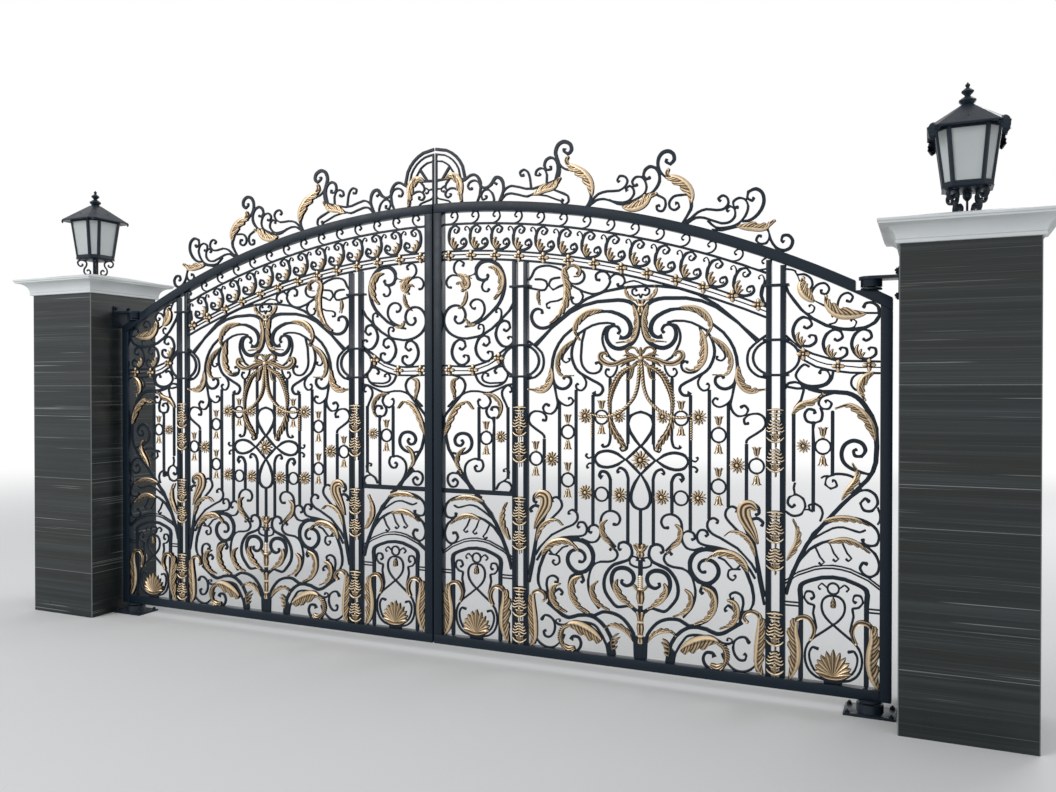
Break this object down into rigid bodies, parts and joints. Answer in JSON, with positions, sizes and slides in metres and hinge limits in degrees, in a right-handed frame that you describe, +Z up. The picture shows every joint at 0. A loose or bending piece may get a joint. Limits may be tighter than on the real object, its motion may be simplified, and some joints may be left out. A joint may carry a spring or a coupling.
{
  "type": "wrought iron driveway gate with stone clad posts",
  "caption": "Double swing driveway gate with an arched top, iron scrollwork and gold castings, hung on vertical pivots between stone clad posts with caps and lanterns.",
  "frame": {"origin": "middle of the left post's foot, on the ground", "axes": "+X along the gate from the left post to the right post, +Y from the street side inwards, +Z up"},
  "size_m": [5.97, 0.696, 2.7889],
  "materials": {
    "iron": "satin blue-black enamel",
    "gilding": "antique gold paint on cast iron",
    "cladding": "honed dark grey stone",
    "cornice": "painted render",
    "frosted_glass": "frosted"
  },
  "bodies": {
    "posts": {"left_post": "cladding", "right_post": "cladding", "post_caps": "cornice", "left_lantern": "iron", "right_lantern": "iron", "lantern_glass": "frosted_glass", "left_hinge_brackets": "iron", "right_hinge_brackets": "iron"},
    "left_leaf": {"left_hinge_stile": "iron", "left_meeting_stile": "iron", "left_bottom_rail": "iron", "left_top_rail": "iron", "left_inner_pilaster": "iron", "left_outer_pilaster": "iron", "left_frieze": "iron", "left_volutes": "iron", "left_pickets": "iron", "left_fountain": "iron", "left_inner_panel": "iron", "left_outer_panel": "iron", "left_cresting": "iron", "left_leaves": "gilding", "left_flowers": "gilding", "left_husks": "gilding", "left_ribbons": "gilding", "left_pivot_pins": "iron"},
    "right_leaf": {"right_hinge_stile": "iron", "right_meeting_stile": "iron", "right_bottom_rail": "iron", "right_top_rail": "iron", "right_inner_pilaster": "iron", "right_outer_pilaster": "iron", "right_frieze": "iron", "right_volutes": "iron", "right_pickets": "iron", "right_fountain": "iron", "right_inner_panel": "iron", "right_outer_panel": "iron", "right_cresting": "iron", "right_leaves": "gilding", "right_flowers": "gilding", "right_husks": "gilding", "right_ribbons": "gilding", "right_pivot_pins": "iron"}
  },
  "joints": [
    {"name": "left_leaf_swing", "type": "hinge", "parent": "posts", "child": "left_leaf", "pos_m": [0.386, -0.025, 0.05], "axis": [0, 0, 1], "range_deg": [0, 90]},
    {"name": "right_leaf_swing", "type": "hinge", "parent": "posts", "child": "right_leaf", "pos_m": [4.888, -0.025, 0.05], "axis": [0, 0, -1], "range_deg": [0, 90]}
  ]
}
